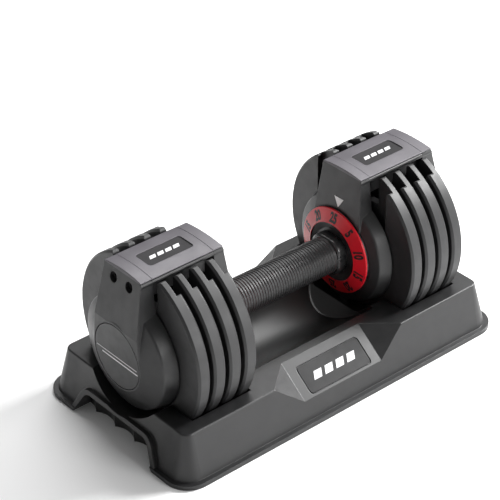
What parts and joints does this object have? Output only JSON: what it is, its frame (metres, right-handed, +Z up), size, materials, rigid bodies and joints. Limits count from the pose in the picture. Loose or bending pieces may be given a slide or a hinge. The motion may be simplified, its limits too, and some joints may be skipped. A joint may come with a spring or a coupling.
{
  "type": "adjustable dumbbell",
  "caption": "Adjustable dumbbell in a storage tray: two heads of slotted plates, red number dials, a ribbed twist grip and a moulded cradle.",
  "frame": {"origin": "centre of the tray's underside, on the floor", "axes": "+X along the grip, +Z up, -Y the badge side of the tray"},
  "size_m": [0.3622, 0.1944, 0.1616],
  "materials": {
    "tray": "fine-grained satin dark grey",
    "tray_badge": "smooth dark plate, unlettered",
    "plate": "textured dark grey coating",
    "disc": "moulded black",
    "steel": "turned steel",
    "bush": "natural acetal",
    "grip": "ribbed satin dark grey",
    "collar": "smooth dark grey",
    "dial_hub": "smooth dark grey",
    "dial": "bright red with black numerals",
    "cheek": "fine-grained satin dark grey",
    "cap": "satin dark grey",
    "bridge": "satin dark grey",
    "cover": "satin grey",
    "badge": "smooth dark insert, unlettered",
    "bolt": "blackened steel",
    "pointer": "white",
    "back_plate": "moulded black"
  },
  "bodies": {
    "tray": {"tray_shell": "tray", "tray_badge": "tray_badge"},
    "frame": {"back_plate_screws": "steel", "bridge_left": "bridge", "bridge_right": "bridge", "cheek_back_plate_left": "back_plate", "cheek_back_plate_right": "back_plate", "cover_badge_left": "badge", "cover_badge_right": "badge", "detent_plungers": "steel", "detent_springs": "steel", "dial_pointer_left": "pointer", "dial_pointer_right": "pointer", "end_cap_left": "cap", "end_cap_right": "cap", "head_bolts_left": "bolt", "head_bolts_right": "bolt", "inner_cheek_left": "cheek", "inner_cheek_right": "cheek", "outer_cheek_left": "cheek", "outer_cheek_right": "cheek", "thrust_washers": "bush", "tie_bar": "steel", "tie_bar_nuts": "steel", "top_cover_left": "cover", "top_cover_right": "cover"},
    "selector": {"detent_star_left": "bush", "detent_star_right": "bush", "dial_hub_left": "dial_hub", "dial_hub_right": "dial_hub", "dial_ring_left": "dial", "dial_ring_right": "dial", "grip_collar_left": "collar", "grip_collar_right": "collar", "grip_core": "steel", "grip_sleeve": "grip", "selector_disc_1_left": "disc", "selector_disc_1_right": "disc", "selector_disc_2_left": "disc", "selector_disc_2_right": "disc", "selector_disc_3_left": "disc", "selector_disc_3_right": "disc", "selector_disc_4_left": "disc", "selector_disc_4_right": "disc", "selector_sleeve_left": "steel", "selector_sleeve_right": "steel", "sleeve_bushes": "bush"},
    "plate_1_right": {"weight_plate_1_right": "plate"},
    "plate_2_right": {"weight_plate_2_right": "plate"},
    "plate_3_right": {"weight_plate_3_right": "plate"},
    "plate_4_right": {"weight_plate_4_right": "plate"},
    "plate_1_left": {"weight_plate_1_left": "plate"},
    "plate_2_left": {"weight_plate_2_left": "plate"},
    "plate_3_left": {"weight_plate_3_left": "plate"},
    "plate_4_left": {"weight_plate_4_left": "plate"},
    "lock_right": {"lock_slider_right": "bush"},
    "lock_left": {"lock_slider_left": "bush"}
  },
  "joints": [
    {"name": "lift", "type": "slide", "parent": "tray", "child": "frame", "axis": [0, 0, 1], "range_m": [0, 0.2]},
    {"name": "select", "type": "hinge", "parent": "frame", "child": "selector", "pos_m": [0, 0, 0.0813], "axis": [1, 0, 0], "continuous": true},
    {"name": "plate_1_right_lift", "type": "slide", "parent": "tray", "child": "plate_1_right", "axis": [0, 0, 1], "range_m": [0, 0.2]},
    {"name": "plate_2_right_lift", "type": "slide", "parent": "tray", "child": "plate_2_right", "axis": [0, 0, 1], "range_m": [0, 0.2]},
    {"name": "plate_3_right_lift", "type": "slide", "parent": "tray", "child": "plate_3_right", "axis": [0, 0, 1], "range_m": [0, 0.2]},
    {"name": "plate_4_right_lift", "type": "slide", "parent": "tray", "child": "plate_4_right", "axis": [0, 0, 1], "range_m": [0, 0.2]},
    {"name": "plate_1_left_lift", "type": "slide", "parent": "tray", "child": "plate_1_left", "axis": [0, 0, 1], "range_m": [0, 0.2]},
    {"name": "plate_2_left_lift", "type": "slide", "parent": "tray", "child": "plate_2_left", "axis": [0, 0, 1], "range_m": [0, 0.2]},
    {"name": "plate_3_left_lift", "type": "slide", "parent": "tray", "child": "plate_3_left", "axis": [0, 0, 1], "range_m": [0, 0.2]},
    {"name": "plate_4_left_lift", "type": "slide", "parent": "tray", "child": "plate_4_left", "axis": [0, 0, 1], "range_m": [0, 0.2]},
    {"name": "lock_right_drop", "type": "slide", "parent": "frame", "child": "lock_right", "axis": [0, 0, 1], "range_m": [-0.003, 0]},
    {"name": "lock_left_drop", "type": "slide", "parent": "frame", "child": "lock_left", "axis": [0, 0, 1], "range_m": [-0.003, 0]}
  ],
  "couplings": [
    {"joint": "plate_1_right_lift", "follows": "lift", "ratio": 1},
    {"joint": "plate_2_right_lift", "follows": "lift", "ratio": 1},
    {"joint": "plate_3_right_lift", "follows": "lift", "ratio": 1},
    {"joint": "plate_4_right_lift", "follows": "lift", "ratio": 1},
    {"joint": "plate_1_left_lift", "follows": "lift", "ratio": 1},
    {"joint": "plate_2_left_lift", "follows": "lift", "ratio": 1},
    {"joint": "plate_3_left_lift", "follows": "lift", "ratio": 1},
    {"joint": "plate_4_left_lift", "follows": "lift", "ratio": 1},
    {"joint": "lock_right_drop", "follows": "lift", "ratio": -0.015},
    {"joint": "lock_left_drop", "follows": "lift", "ratio": -0.015}
  ]
}
